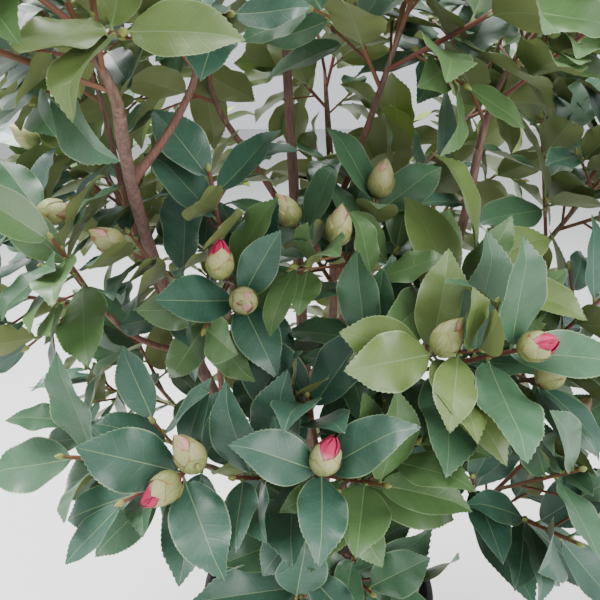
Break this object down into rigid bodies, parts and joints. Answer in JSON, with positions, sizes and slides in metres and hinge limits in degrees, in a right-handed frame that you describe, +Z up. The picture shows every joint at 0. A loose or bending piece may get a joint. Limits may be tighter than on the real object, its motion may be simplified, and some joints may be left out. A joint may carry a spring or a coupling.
{
  "type": "potted camellia shrub",
  "caption": "Multi-stemmed camellia shrub with glossy toothed leaves and fat flower buds, in a round black plastic nursery pot with a broad rim.",
  "frame": {"origin": "centre of the flat underside of the pot, on the surface that the pot stands on", "axes": "+Z up; -Y towards the plant's front, which the picture shows; +X to the right of that view"},
  "size_m": [0.7266, 0.6856, 1.1516],
  "materials": {
    "pot_plastic": "black blow-moulded polyethylene with a satin, slightly scuffed surface",
    "potting_mix": "dark moist bark and peat mix",
    "bark": "smooth mauve-brown bark, red-brown and green on young shoots",
    "foliage": "glossy dark green leaves with paler undersides, and green buds with pink tips"
  },
  "bodies": {
    "root": {"pot": "pot_plastic", "potting_mix": "potting_mix", "trunk": "bark", "stem_centre": "bark", "stem_left": "bark", "stem_right": "bark", "stem_back": "bark", "bough_low_front": "bark", "bough_front": "bark", "bough_front_left": "bark", "bough_front_right": "bark", "bough_right_front": "bark", "bough_right": "bark", "bough_low_right": "bark", "bough_low_right_back": "bark", "bough_centre": "bark", "bough_upper_front_right": "bark", "bough_upper_inner_left": "bark", "bough_upper_front_left": "bark", "bough_upper_left": "bark", "bough_left": "bark", "bough_low_left": "bark", "bough_low_back": "bark", "bough_low_back_left": "bark", "bough_left_back": "bark", "bough_upper_right_back": "bark", "bough_inner_left": "bark", "bough_inner": "bark", "bough_back_left": "bark", "bough_back_right": "bark", "leaves_low_front": "foliage", "leaves_front": "foliage", "leaves_front_left": "foliage", "leaves_front_right": "foliage", "leaves_right_front": "foliage", "leaves_right": "foliage", "leaves_low_right": "foliage", "leaves_low_right_back": "foliage", "leaves_centre": "foliage", "leaves_upper_front_right": "foliage", "leaves_upper_inner_left": "foliage", "leaves_upper_front_left": "foliage", "leaves_upper_left": "foliage", "leaves_left": "foliage", "leaves_low_left": "foliage", "leaves_low_back": "foliage", "leaves_low_back_left": "foliage", "leaves_left_back": "foliage", "leaves_upper_right_back": "foliage", "leaves_inner_left": "foliage", "leaves_inner": "foliage", "leaves_back_left": "foliage", "leaves_back_right": "foliage", "leaves_upper_right": "foliage", "leaves_upper_back": "foliage", "leaves_top": "foliage", "leaves_top_left": "foliage"}
  },
  "joints": []
}
